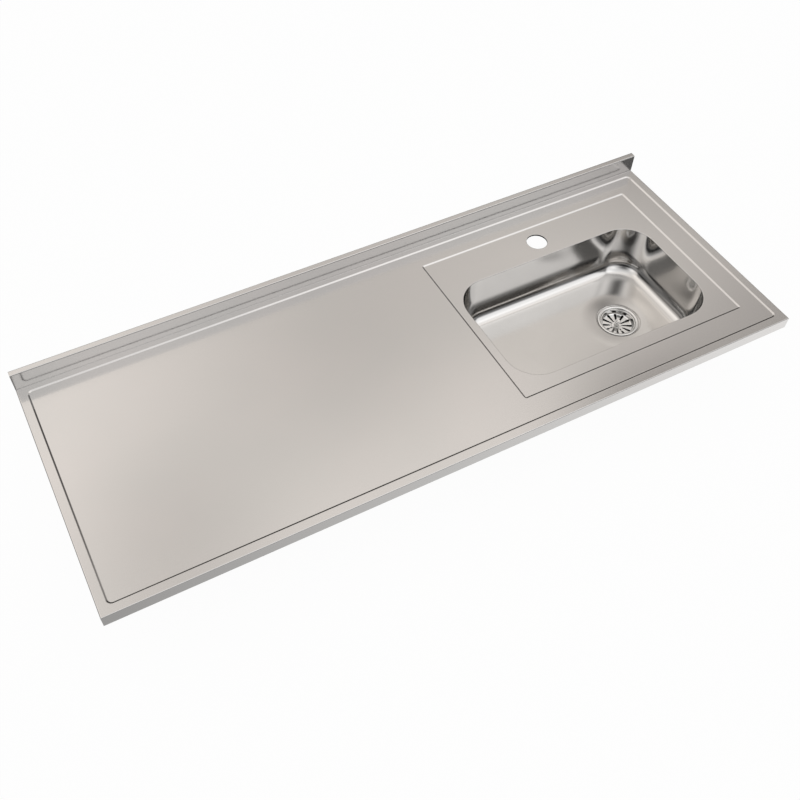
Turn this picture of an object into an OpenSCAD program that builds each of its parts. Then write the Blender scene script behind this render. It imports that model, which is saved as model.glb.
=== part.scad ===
// Sit-on sink top: one folded sheet worktop with a pressed bowl, a wood core and a basket strainer.
// X runs along the length, Y to the wall, Z up. The underside of the core rests on the cabinet at Z = 0.
// Places along the length are measured from the right end, places across from the front edge.

/* [Worktop sheet] */
// Overall length
overall_l = 1600; // [1400:10:2000]
// Overall depth from the front edge to the wall
overall_d = 600; // [560:5:650]
// Height of the front and side drops
drop_h = 30; // [28:1:40]
// Thickness of the worktop sheet
sheet_t = 1; // [0.8:0.1:1.5]
// Outer bend radius of the drop edges
edge_r = 2; // [1.6:0.1:3]
// Height of the safety hem folded up inside each drop
hem_h = 12; // [6:1:20]

/* [Upstand] */
// Height of the upstand above the deck
upstand_h = 45; // [30:1:60]
// Depth of the upstand from its front face to the wall
upstand_d = 14.5; // [12:0.5:20]
// Height of the fold at the back of the upstand
upstand_fold_h = 18; // [10:1:25]
// Radius in the corner between deck and upstand
upstand_fillet = 2.5; // [1:0.5:5]

/* [Pressed steps] */
// Border outside the sunken field at the front and at both ends
field_margin = 20; // [15:1:30]
// Border between the sunken field and the upstand
field_margin_back = 15; // [12:1:25]
// Corner radius of the sunken field
field_r = 11; // [6:1:20]
// Fall of each pressed step
step_h = 1.8; // [1:0.1:2.5]
// Width of each pressed step in plan
step_w = 2; // [1.5:0.1:4]

/* [Bowl panel] */
// Length of the sunken panel round the bowl
panel_w = 580; // [560:2:640]
// Distance from the right end to the panel
panel_right = 73; // [66:1:110]
// Corner radius of the panel
panel_r = 5; // [4:1:20]

/* [Bowl] */
// Inside width of the bowl
bowl_d = 310; // [280:2:340]
// Depth of the bowl below its panel
bowl_depth = 120; // [100:1:180]
// Plan corner radius of the bowl
bowl_r = 75; // [60:1:100]
// Radius between the walls and the floor
floor_r = 35; // [20:1:40]
// Thickness of the bowl sheet
bowl_t = 0.9; // [0.7:0.1:1.2]
// Distance from the panel's left edge to the bowl
bowl_left = 22; // [18:1:60]
// Distance from the panel's right edge to the bowl
bowl_right = 38; // [30:1:45]
// Distance from the panel's front edge to the bowl
bowl_front = 35; // [28:1:40]
// Distance from the bowl to the panel's back edge, which leaves room for the tap
bowl_back = 100; // [92:1:110]
// Width of the flange welded under the panel
bowl_flange = 10; // [6:1:12]

/* [Outlet] */
// Distance from the bowl's right wall to the outlet's centre
outlet_right = 141; // [135:1:200]
// Distance from the bowl's front wall to the outlet's centre
outlet_front = 141; // [135:1:160]
// Diameter of the outlet hole in the bowl
outlet_d = 88; // [87.6:0.1:90]
// Fall of the floor towards the outlet
floor_fall = 2; // [1:0.1:4]
// Radius over which the floor falls
floor_fall_r = 100; // [80:1:105]
// Depth of the recess that takes the strainer flange
recess_h = 2.4; // [2.2:0.1:4]
// Clear rim between the flange and the recess wall
recess_rim = 2.5; // [1.5:0.5:5]

/* [Tap hole] */
// Diameter of the tap hole
tap_hole_d = 50; // [35:1:55]
// Distance from the panel's back edge to the tap hole's centre
tap_back = 50; // [46:1:52]
// Thickness of the support plate under the tap hole
tap_plate_t = 3; // [2:0.5:6]
// Length of the support plate
tap_plate_w = 120; // [90:2:160]
// Clearance from the support plate to the bowl flange and to the panel step
tap_plate_gap = 3; // [2:0.5:4]

/* [Wood core] */
// Width of the two end battens, which carry the brackets
batten_w = 50; // [44:1:60]
// Clearance from the wood to the sunken panel
core_gap = 8; // [4:1:20]
// Thickness of the glue film between wood and sheet
glue_t = 0.2; // [0.1:0.1:0.5]

/* [Sound pads] */
// Thickness of the sound pads
pad_t = 2.5; // [1.5:0.5:5]
// Clearance from the pads to the fillets, the flange and the falling floor
pad_gap = 12; // [6:1:20]
// Length of the pad on the back wall
wall_pad_l = 300; // [150:10:340]

/* [Fixing brackets] */
// Length of a bracket along the cabinet side
bracket_l = 40; // [36:1:60]
// Width of the leg under the worktop
bracket_w = 24; // [20:1:30]
// Height of the leg against the cabinet side
bracket_h = 30; // [24:1:40]
// Thickness of a bracket
bracket_t = 2; // [1.5:0.5:3]
// Diameter of the hole for the cabinet screw
bracket_hole_d = 5; // [4:0.5:6]
// Depth of the cabinet screw hole below the worktop
bracket_hole_drop = 18; // [12:1:20]
// Thickness of the cabinet sides that the brackets meet
cabinet_side_t = 18; // [16:1:22]
// Distance of the two rows of brackets from the middle
bracket_row_y = 200; // [150:5:220]
// Diameter of the wood screws
screw_d = 3.5; // [3:0.1:4]
// Clearance round a wood screw in its pilot hole
pilot_gap = 0.05; // [0.02:0.01:0.1]
// Clearance round a wood screw in its bracket
bracket_hole_gap = 0.3; // [0.2:0.1:0.6]
// Length of the wood screws under the head
screw_l = 18; // [12:1:20]
// Diameter of the screw heads
screw_head_d = 7; // [6:0.5:8]
// Height of the screw heads
screw_head_h = 1.8; // [1.2:0.1:2.5]
// Distance between the two screws of a bracket
screw_pitch = 22; // [18:1:24]

/* [Strainer body] */
// Diameter of the strainer flange
flange_d = 98; // [96:1:112]
// Thickness of the strainer flange
flange_t = 1.2; // [1:0.1:2]
// Diameter of the cup's mouth above the ledge
mouth_d = 83; // [82.6:0.1:83.2]
// Inside diameter of the cup below the ledge
cup_d = 79.6; // [78:0.1:80]
// Depth of the ledge that carries the basket
ledge_depth = 5; // [4:0.5:7]
// Wall of the cup at its mouth
cup_wall = 1.4; // [1:0.1:1.5]
// Thickness of the cup's bottom
cup_floor_t = 2; // [1.5:0.5:3]
// Outside diameter of the threaded outlet
tail_d = 47.8; // [46:0.1:50]
// Wall of the threaded outlet
tail_wall = 4.4; // [3:0.1:5]
// Length of the threaded outlet
tail_l = 24; // [16:1:40]
// Height of the seat ring for the stopper
seat_h = 1; // [0.5:0.1:2]
// Width of the seat ring
seat_w = 3; // [2:0.5:4]
// Width of the bars across the outlet
bar_w = 3; // [2:0.5:4]
// Height of the bars and their hub
bar_h = 3; // [2:0.5:5]
// Diameter of the hub
hub_d = 13; // [11:0.5:16]

/* [Seals and nut] */
// Thickness of the seal under the flange
flange_seal_t = 0.8; // [0.5:0.1:1]
// How far the seal stays back from the flange edge and from the outlet hole
flange_seal_edge = 0.7; // [0.5:0.1:1.5]
// Thickness of the gasket under the bowl
gasket_t = 3; // [2:0.5:5]
// Outside diameter of the gasket and washer under the bowl
gasket_d = 104; // [98:1:108]
// Thickness of the friction washer
friction_t = 1; // [0.5:0.1:2]
// Height of the lock nut
nut_h = 12; // [8:1:14]
// Diameter of the lock nut without its lugs
nut_d = 98; // [94:1:102]
// How far the lugs stand out of the lock nut
nut_lug = 5; // [3:0.5:8]
// Width of a lug on the lock nut
nut_lug_w = 13; // [8:1:16]
// Height of a lug on the lock nut
nut_lug_h = 8; // [4:0.5:8]
// Number of lugs on the lock nut
nut_lugs = 8; // [4:1:12]
// Clearance of threads and seals round the cup
thread_gap = 0.1; // [0.1:0.05:0.3]

/* [Basket] */
// Sheet thickness of the basket
basket_t = 0.8; // [0.6:0.1:1]
// Inside depth of the basket
basket_depth = 13; // [10:0.5:14]
// Clearance between the basket and the cup
basket_gap = 0.3; // [0.2:0.05:0.5]
// Number of slots in the basket floor
slots = 12; // [8:1:16]
// Slot width at its inner end
slot_in_w = 3; // [2:0.2:4]
// Slot width at its outer end
slot_out_w = 6; // [4:0.2:8]
// Radius at which the slots start
slot_in_r = 13; // [11:0.5:16]
// Metal left between the slots and the basket wall
slot_rim = 2; // [1:0.5:5]

/* [Stopper and knob] */
// Travel of the knob between closed and open
stopper_travel = 8; // [4:0.5:9]
// Diameter of the rubber stopper
stopper_d = 58; // [54:1:66]
// Thickness of the rubber stopper
stopper_t = 3; // [2:0.5:3.5]
// Diameter of the steel washer over the stopper
washer_d = 36; // [24:1:50]
// Thickness of the steel washer over the stopper
washer_t = 1.2; // [0.8:0.1:2]
// Diameter of the stem
stem_d = 6; // [5:0.5:7]
// Diameter of the stem's thin end
stem_tip_d = 4; // [3:0.1:4.4]
// Length of the stem below the stopper
stem_tip_l = 11; // [9:0.5:14]
// Running clearance of the stem in the basket
stem_gap = 0.08; // [0.05:0.01:0.1]
// Height of the knob
knob_h = 14; // [10:0.5:16]
// Diameter of the knob
knob_d = 15; // [12:0.5:18]
// Diameter of the knob's waist
knob_waist_d = 9; // [8:0.5:11]
// Diameter of the knob's foot
knob_foot_d = 12; // [10:0.5:16]
// Height of the knob's foot
knob_foot_h = 2; // [1:0.5:3]
// Height of the knob's round-edged head
knob_head_h = 4; // [3:0.5:5]
// Length of the stem inside the knob
stem_grip = 9; // [5:0.5:9]
// Outside diameter of the spring clip
clip_d = 6.4; // [5.8:0.1:7]
// Height of the spring clip
clip_h = 2.5; // [1.5:0.5:4]
// Width of the split in the spring clip
clip_split = 1.2; // [0.8:0.1:2]
// Length of the stem below the spring clip
stem_tip_over = 1; // [0.5:0.5:2]

/* [Hidden] */
$fn = 96;

// Finishes
steel = [0.76, 0.74, 0.71];
bright_steel = [0.83, 0.83, 0.83];
chipboard = [0.72, 0.58, 0.40];
softwood = [0.80, 0.66, 0.45];
black_rubber = [0.09, 0.09, 0.09];
grey_fibre = [0.55, 0.53, 0.50];
bitumen = [0.20, 0.20, 0.21];
zinc = [0.70, 0.72, 0.74];
white_nylon = [0.90, 0.90, 0.88];

// A cutter runs this far past the solid that it cuts
over = 1;

// Ends and levels of the sheet
left_x = -overall_l / 2;
right_x = overall_l / 2;
front_y = -overall_d / 2;
back_y = overall_d / 2;
upstand_y = back_y - upstand_d;
deck_z = drop_h;
field_z = deck_z - step_h;
panel_z = field_z - step_h;
upstand_z = deck_z + upstand_h;
// Growth that keeps the sheet as thick on a slope as on the flat
slope_l = sqrt(step_h * step_h + step_w * step_w);
slope_grow = sheet_t * (slope_l - step_w) / step_h;

// Outlines as [left, front, right, back, corner radius]
field = [left_x + field_margin, front_y + field_margin,
  right_x - field_margin, upstand_y - field_margin_back, field_r];
// The panel takes in the bowl and its borders, and lies midway between front edge and wall
panel_d = bowl_front + bowl_d + bowl_back;
panel_x1 = right_x - panel_right;
panel = [panel_x1 - panel_w, -panel_d / 2, panel_x1, panel_d / 2, panel_r];
bowl = [panel[0] + bowl_left, panel[1] + bowl_front, panel[2] - bowl_right, panel[3] - bowl_back, bowl_r];

// Levels of the bowl
bowl_top_z = panel_z - sheet_t;
floor_z = panel_z - bowl_depth;
outlet_z = floor_z - floor_fall;
recess_z = outlet_z - recess_h;
bowl_under_z = recess_z - bowl_t;
outlet_x = bowl[2] - outlet_right;
outlet_y = bowl[1] + outlet_front;
recess_r = flange_d / 2 + recess_rim;

// Tap hole and its plate
tap_x = (panel[0] + panel[2]) / 2;
tap_y = panel[3] - tap_back;
plate_y0 = bowl[3] + bowl_flange + tap_plate_gap;
plate_y1 = panel[3] - step_w - tap_plate_gap;

// Wood core: levels and edges inside the folded sheet
core_top_z = field_z - sheet_t - glue_t;
wood_x0 = left_x + 2 * sheet_t + glue_t;
wood_x1 = right_x - 2 * sheet_t - glue_t;
core_x0 = wood_x0 + batten_w;
core_x1 = panel[0] - core_gap;
batten_x1 = wood_x1 - batten_w;
core_y0 = front_y + 2 * sheet_t + glue_t;
core_y1 = upstand_y;

// Brackets: the outer face of each upright leg meets a cabinet side
bracket_end_x = overall_l / 2 - cabinet_side_t;
screw_r = screw_d / 2;
pilot_r = screw_r + pilot_gap;
screw_off = bracket_t + (bracket_w - bracket_t) / 2;

// Strainer levels and radii
flange_z = recess_z + flange_seal_t + flange_t;
ledge_z = flange_z - ledge_depth;
cup_r = mouth_d / 2 + cup_wall;
tail_r = tail_d / 2;
tail_bore_r = tail_r - tail_wall;
gasket_z = bowl_under_z - gasket_t;
friction_z = gasket_z - friction_t;
nut_z = friction_z - nut_h;

// Clearance of rubber and of loose pieces inside the strainer
rubber_gap = 0.3;

// Basket levels and radii
basket_rim_r = mouth_d / 2 - basket_gap;
basket_r = cup_d / 2 - basket_gap;
basket_rim_z = ledge_z;
basket_floor_z = basket_rim_z + basket_t - basket_depth;
basket_under_z = basket_floor_z - basket_t;
slot_out_r = basket_r - basket_t - slot_rim - slot_out_w / 2;

// Stopper levels, closed: open, its washer just clears the basket
washer_z = basket_under_z - rubber_gap - stopper_travel - washer_t;
stopper_z = washer_z - stopper_t;
seat_z = stopper_z - rubber_gap;
cup_z = seat_z - seat_h;
tail_z = cup_z - cup_floor_t - tail_l;
stem_r = stem_d / 2;
tip_r = stem_tip_d / 2;
knob_z = basket_floor_z + rubber_gap;
stem_top_z = knob_z + stem_grip;
stem_foot_z = stopper_z - stem_tip_l;
hub_bore_r = clip_d / 2 + rubber_gap;
clip_z = stem_foot_z + stem_tip_over;

// Two-dimensional profile in X and Z, carried along Y
module along_y(y0, y1) {
  translate([0, y1, 0]) rotate([90, 0, 0]) linear_extrude(y1 - y0) children();
}

// Two-dimensional profile in Y and Z, carried along X
module along_x(x0, x1) {
  translate([x0, 0, 0]) rotate([90, 0, 90]) linear_extrude(x1 - x0) children();
}

// Box between two corners
module box(a, b) {
  translate(a) cube(b - a);
}

// Rectangle between two corners
module rect(a, b) {
  translate(a) square(b - a);
}

// Rectangle with two round upper corners
module round_top(a, b, r) {
  rect(a, [b[0], b[1] - r]);
  rect([a[0] + r, a[1]], [b[0] - r, b[1]]);
  translate([a[0] + r, b[1] - r]) circle(r);
  translate([b[0] - r, b[1] - r]) circle(r);
}

// Rectangle with one round upper corner at its low end
module round_nose(a, b, r) {
  rect(a, [b[0], b[1] - r]);
  rect([a[0] + r, a[1]], b);
  translate([a[0] + r, b[1] - r]) circle(r);
}

// Rectangle with two round lower corners
module round_base(a, b, r) {
  rect([a[0], a[1] + r], b);
  rect([a[0] + r, a[1]], [b[0] - r, b[1]]);
  translate([a[0] + r, a[1] + r]) circle(r);
  translate([b[0] - r, a[1] + r]) circle(r);
}

// Corner centres of an outline
function corners(o) = [for (x = [o[0] + o[4], o[2] - o[4]], y = [o[1] + o[4], o[3] - o[4]]) [x, y]];

// Outline grown on all sides
function grown(o, g) = [o[0] - g, o[1] - g, o[2] + g, o[3] + g, o[4] + g];

// Upright prism on a rounded outline
module prism(o, z0, z1) {
  box([o[0] + o[4], o[1], z0], [o[2] - o[4], o[3], z1]);
  box([o[0], o[1] + o[4], z0], [o[2], o[3] - o[4], z1]);
  for (c = corners(o)) translate([c[0], c[1], z0]) cylinder(h = z1 - z0, r = o[4]);
}

// Pan with sloping sides: outline o at level z1, drawn in by w at level z0
module pan(o, z0, z1, w) {
  along_y(o[1] + o[4], o[3] - o[4])
    polygon([[o[0] + w, z0], [o[2] - w, z0], [o[2], z1], [o[0], z1]]);
  along_x(o[0] + o[4], o[2] - o[4])
    polygon([[o[1] + w, z0], [o[3] - w, z0], [o[3], z1], [o[1], z1]]);
  for (c = corners(o)) translate([c[0], c[1], z0]) cylinder(h = z1 - z0, r1 = o[4] - w, r2 = o[4]);
}

// Space above a pressed step whose outline is o at level z
module step_cut(o, z) {
  pan(o, z - step_h, z, step_w);
  prism(o, z, z + over);
}

// Metal under a pressed step: it rises half a sheet into the plate above
module step_metal(o, z) {
  rise = sheet_t / 2;
  spread = rise * step_w / step_h;
  pan(grown(o, slope_grow + spread), z - sheet_t - step_h, z - sheet_t + rise, step_w + spread);
}

// Deck and drops as one solid block, drawn in by g on every outer face
module deck_block(g, z0) {
  r = edge_r - g;
  intersection() {
    along_y(front_y + g, back_y + g) round_top([left_x + g, z0], [right_x - g, deck_z - g], r);
    along_x(left_x + g, right_x - g) round_nose([front_y + g, z0], [back_y + g, deck_z - g], r);
  }
}

module deck_shell() {
  difference() {
    deck_block(0, 0);
    deck_block(sheet_t, -over);
    box([left_x + sheet_t, upstand_y + sheet_t, -over], [right_x - sheet_t, back_y + over, deck_z + over]);
  }
}

// Safety hems inside the front and side drops
module hems() {
  t = sheet_t;
  box([left_x + t, front_y + t, 0], [right_x - t, front_y + 2 * t, hem_h]);
  box([left_x + t, front_y + t, 0], [left_x + 2 * t, upstand_y, hem_h]);
  box([right_x - 2 * t, front_y + t, 0], [right_x - t, upstand_y, hem_h]);
}

// Section of the upstand: front face, top flange and back fold
module upstand_section() {
  t = sheet_t;
  r = edge_r;
  difference() {
    round_top([upstand_y, deck_z - t], [back_y, upstand_z], r);
    round_top([upstand_y + t, deck_z - t - over], [back_y - t, upstand_z - t], r - t);
    rect([upstand_y + t, deck_z - t - over], [back_y + over, upstand_z - upstand_fold_h]);
  }
  difference() {
    rect([upstand_y - upstand_fillet, deck_z - t / 2], [upstand_y + t / 2, deck_z + upstand_fillet]);
    translate([upstand_y - upstand_fillet, deck_z + upstand_fillet]) circle(upstand_fillet);
  }
}

module upstand() {
  along_x(left_x, right_x) upstand_section();
  for (x = [left_x, right_x - sheet_t]) {
    along_x(x, x + sheet_t) round_top([upstand_y, deck_z - edge_r], [back_y, upstand_z], edge_r);
  }
}

module worktop_skin() {
  color(steel) difference() {
    union() {
      difference() {
        union() {
          deck_shell();
          upstand();
          hems();
          step_metal(field, deck_z);
        }
        step_cut(field, deck_z);
      }
      step_metal(panel, field_z);
    }
    step_cut(panel, field_z);
    prism(bowl, bowl_top_z - over, panel_z + over);
    translate([tap_x, tap_y, bowl_top_z - over]) cylinder(h = sheet_t + 2 * over, r = tap_hole_d / 2);
  }
}

// Bowl body without its flange: round plan corners and a round floor edge
module bowl_form(o, z0, z1, r) {
  along_y(o[1] + o[4], o[3] - o[4]) round_base([o[0], z0], [o[2], z1], r);
  along_x(o[0] + o[4], o[2] - o[4]) round_base([o[1], z0], [o[3], z1], r);
  for (c = corners(o)) translate([c[0], c[1], 0]) rotate_extrude() intersection() {
    round_base([-o[4], z0], [o[4], z1], r);
    rect([0, z0], [o[4], z1]);
  }
}

// Falling floor and recess round the outlet
module outlet_form(drop, grow) {
  translate([outlet_x, outlet_y, -drop]) {
    translate([0, 0, outlet_z]) cylinder(h = floor_fall, r1 = recess_r + grow, r2 = floor_fall_r);
    translate([0, 0, recess_z])
      cylinder(h = recess_h, r1 = recess_r + grow - recess_h / 2, r2 = recess_r + grow);
  }
}

module sink_bowl() {
  color(bright_steel) difference() {
    union() {
      bowl_form(grown(bowl, bowl_t), floor_z - bowl_t, bowl_top_z, floor_r + bowl_t);
      prism(grown(bowl, bowl_flange), bowl_top_z - bowl_t, bowl_top_z);
      outlet_form(bowl_t, bowl_t / 2);
    }
    bowl_form(bowl, floor_z, bowl_top_z + over, floor_r);
    outlet_form(0, 0);
    translate([outlet_x, outlet_y, bowl_under_z - over]) cylinder(h = over * 3, r = outlet_d / 2);
  }
}

module core_board() {
  color(chipboard) box([core_x0, core_y0, 0], [core_x1, core_y1, core_top_z]);
}

module front_batten() {
  color(softwood) box([core_x1, core_y0, 0], [batten_x1, panel[1] - core_gap, core_top_z]);
}

module rear_batten() {
  color(softwood) box([core_x1, panel[3] + core_gap, 0], [batten_x1, core_y1, core_top_z]);
}

// Pilot holes for the bracket screws at the left end (-1) or the right end (1)
module pilots(end) {
  for (row = [-1, 1], s = [-1, 1]) {
    translate([end * (bracket_end_x - screw_off), row * bracket_row_y + s * screw_pitch / 2, -over])
      cylinder(h = screw_l + over, r = pilot_r);
  }
}

module left_batten() {
  color(softwood) difference() {
    box([wood_x0, core_y0, 0], [core_x0, core_y1, core_top_z]);
    pilots(-1);
  }
}

module right_batten() {
  color(softwood) difference() {
    box([batten_x1, core_y0, 0], [wood_x1, core_y1, core_top_z]);
    pilots(1);
  }
}

// Strip that fills the upstand and stands behind the core
module upstand_backing() {
  y0 = upstand_y + sheet_t + glue_t;
  y1 = back_y - sheet_t - glue_t;
  color(softwood) along_x(left_x + sheet_t + glue_t, right_x - sheet_t - glue_t)
    round_top([y0, 0], [y1, upstand_z - sheet_t - glue_t], edge_r - sheet_t);
}

module tap_support_plate() {
  color(zinc) difference() {
    box([tap_x - tap_plate_w / 2, plate_y0, bowl_top_z - tap_plate_t],
      [tap_x + tap_plate_w / 2, plate_y1, bowl_top_z]);
    translate([tap_x, tap_y, bowl_top_z - tap_plate_t - over])
      cylinder(h = tap_plate_t + 2 * over, r = tap_hole_d / 2);
  }
}

// One pad under the level part of the floor and one on the back wall
module sound_pads() {
  z1 = floor_z - bowl_t;
  x1 = outlet_x - floor_fall_r - pad_gap;
  wall_z0 = floor_z + floor_r + pad_gap;
  wall_z1 = bowl_top_z - bowl_t - pad_gap;
  wall_x = (bowl[0] + bowl[2]) / 2;
  color(bitumen) {
    box([bowl[0] + floor_r + pad_gap, bowl[1] + floor_r + pad_gap, z1 - pad_t],
      [x1, bowl[3] - floor_r - pad_gap, z1]);
    box([wall_x - wall_pad_l / 2, bowl[3] + bowl_t, wall_z0],
      [wall_x + wall_pad_l / 2, bowl[3] + bowl_t + pad_t, wall_z1]);
  }
}

// Angle bracket at the origin: its upright leg's outer face lies at X = 0
module bracket() {
  y = bracket_l / 2;
  difference() {
    union() {
      box([0, -y, -bracket_t], [bracket_w, y, 0]);
      box([0, -y, -bracket_h], [bracket_t, y, 0]);
    }
    for (s = [-1, 1]) translate([screw_off, s * screw_pitch / 2, -bracket_t - over])
      cylinder(h = bracket_t + 2 * over, r = screw_r + bracket_hole_gap);
    translate([-over, 0, -bracket_hole_drop]) rotate([0, 90, 0])
      cylinder(h = bracket_t + 2 * over, r = bracket_hole_d / 2);
  }
}

// Both ends and both rows: the leg under the worktop points away from the cabinet side
module at_brackets() {
  for (end = [-1, 1], row = [-1, 1]) {
    translate([end * bracket_end_x, row * bracket_row_y, 0]) mirror([end > 0 ? 1 : 0, 0, 0]) children();
  }
}

module fixing_brackets() {
  color(zinc) at_brackets() bracket();
}

// Pan head wood screw, head down
module wood_screw() {
  translate([0, 0, -bracket_t - screw_head_h]) cylinder(h = screw_head_h, r = screw_head_d / 2);
  translate([0, 0, -bracket_t - screw_head_h / 2])
    cylinder(h = screw_l - screw_r + screw_head_h / 2, r = screw_r);
  translate([0, 0, screw_l - bracket_t - screw_r]) cylinder(h = screw_r, r1 = screw_r, r2 = screw_r / 4);
}

module bracket_screws() {
  color(zinc) at_brackets() for (s = [-1, 1]) {
    translate([screw_off, s * screw_pitch / 2, 0]) wood_screw();
  }
}

// Turned form round the outlet's axis
module turned() {
  translate([outlet_x, outlet_y, 0]) rotate_extrude() children();
}

// Flat ring round the outlet's axis
module ring(r0, r1, z0, z1) {
  turned() rect([r0, z0], [r1, z1]);
}

// Section of the strainer: flange, mouth, ledge, cup and threaded outlet
module strainer_section() {
  lip_r = flange_t / 2;
  mouth_r = mouth_d / 2;
  rect([mouth_r, flange_z - flange_t], [flange_d / 2 - lip_r, flange_z]);
  translate([flange_d / 2 - lip_r, flange_z - lip_r]) circle(lip_r);
  rect([mouth_r, ledge_z], [cup_r, flange_z - flange_t / 2]);
  rect([cup_d / 2, cup_z - cup_floor_t], [cup_r, ledge_z]);
  rect([tail_bore_r, cup_z - cup_floor_t], [cup_r, cup_z]);
  rect([stopper_d / 2 - rubber_gap - seat_w, cup_z - over / 2], [stopper_d / 2 - rubber_gap, seat_z]);
  rect([tail_bore_r, tail_z], [tail_r, cup_z]);
}

module strainer_body() {
  bar_z = cup_z - bar_h;
  color(bright_steel) {
    difference() {
      union() {
        turned() strainer_section();
        translate([outlet_x, outlet_y, bar_z]) {
          cylinder(h = bar_h, r = hub_d / 2);
          for (a = [0, 90]) rotate(a) translate([-tail_bore_r - over, -bar_w / 2, 0])
            cube([2 * (tail_bore_r + over), bar_w, bar_h]);
        }
      }
      translate([outlet_x, outlet_y, bar_z - over]) cylinder(h = bar_h + 2 * over, r = hub_bore_r);
    }
  }
}

module flange_seal() {
  color(black_rubber) ring(outlet_d / 2 + flange_seal_edge, flange_d / 2 - flange_seal_edge,
    recess_z, recess_z + flange_seal_t);
}

module under_gasket() {
  color(black_rubber) ring(cup_r + thread_gap, gasket_d / 2, gasket_z, bowl_under_z);
}

module friction_washer() {
  color(grey_fibre) ring(cup_r + thread_gap, gasket_d / 2, friction_z, gasket_z);
}

module lock_nut() {
  color(white_nylon) {
    difference() {
      union() {
        ring(cup_r, nut_d / 2, nut_z, friction_z);
        translate([outlet_x, outlet_y, nut_z]) for (i = [0 : nut_lugs - 1])
          rotate(i * 360 / nut_lugs) translate([nut_d / 2 - nut_lug, -nut_lug_w / 2, 0])
            cube([2 * nut_lug, nut_lug_w, nut_lug_h]);
      }
      translate([outlet_x, outlet_y, nut_z - over])
        cylinder(h = nut_h + 2 * over, r = cup_r + thread_gap);
    }
  }
}

// Tapered slot with round ends, lying along X
module slot() {
  polygon([[slot_in_r, -slot_in_w / 2], [slot_out_r, -slot_out_w / 2],
    [slot_out_r, slot_out_w / 2], [slot_in_r, slot_in_w / 2]]);
  translate([slot_in_r, 0]) circle(slot_in_w / 2);
  translate([slot_out_r, 0]) circle(slot_out_w / 2);
}

// Basket: rim on the ledge, straight wall and slotted floor
module basket() {
  color(bright_steel) difference() {
    turned() {
      rect([basket_r - basket_t, basket_rim_z], [basket_rim_r, basket_rim_z + basket_t]);
      rect([basket_r - basket_t, basket_under_z], [basket_r, basket_rim_z + basket_t]);
      rect([stem_r + stem_gap, basket_under_z], [basket_r, basket_floor_z]);
    }
    translate([outlet_x, outlet_y, basket_under_z - over]) for (i = [0 : slots - 1])
      rotate(i * 360 / slots) linear_extrude(basket_t + 2 * over) slot();
  }
}

// Pull knob: foot, waist and head, bored for the stem
module pull_knob() {
  foot_r = knob_foot_d / 2;
  waist_r = knob_waist_d / 2;
  head_r = knob_d / 2 - knob_head_h / 2;
  head_z = knob_z + knob_h - knob_head_h;
  foot_z = knob_z + knob_foot_h;
  waist_z = (foot_z + head_z) / 2;
  color(bright_steel) difference() {
    turned() {
      rect([0, knob_z], [foot_r, foot_z]);
      polygon([[0, foot_z], [foot_r, foot_z], [waist_r, waist_z], [head_r, head_z], [0, head_z]]);
      rect([0, head_z], [head_r, knob_z + knob_h]);
      translate([head_r, head_z + knob_head_h / 2]) circle(knob_head_h / 2);
    }
    translate([outlet_x, outlet_y, knob_z - over]) cylinder(h = stem_top_z - knob_z + over, r = stem_r);
  }
}

// Stem through the basket, with a thin end for the stopper and the clip
module post_stem() {
  color(bright_steel) turned() {
    rect([0, washer_z + washer_t], [stem_r, stem_top_z]);
    rect([0, stem_foot_z], [tip_r, washer_z + washer_t + over]);
  }
}

module stopper_washer() {
  color(bright_steel) ring(tip_r, washer_d / 2, washer_z, washer_z + washer_t);
}

module stopper_seal() {
  color(black_rubber) ring(tip_r, stopper_d / 2, stopper_z, washer_z);
}

// Spring clip round the thin end, split on one side
module post_clip() {
  color(zinc) difference() {
    ring(tip_r, clip_d / 2, clip_z, clip_z + clip_h);
    box([outlet_x, outlet_y - clip_split / 2, clip_z - over],
      [outlet_x + clip_d, outlet_y + clip_split / 2, clip_z + clip_h + over]);
  }
}

worktop_skin();
sink_bowl();
core_board();
front_batten();
rear_batten();
left_batten();
right_batten();
upstand_backing();
tap_support_plate();
sound_pads();
fixing_brackets();
bracket_screws();
strainer_body();
flange_seal();
under_gasket();
friction_washer();
lock_nut();
basket();
pull_knob();
post_stem();
stopper_washer();
stopper_seal();
post_clip();
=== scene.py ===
"""Sink top: satin steel sheet, pressed bowl and basket strainer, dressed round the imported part.

Every place below is in millimetres in the part's own frame: X along the length, Y to the wall, Z up.
Only the materials, the studio's shades and the camera count in metres, as Blender does.
"""

import math

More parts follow.
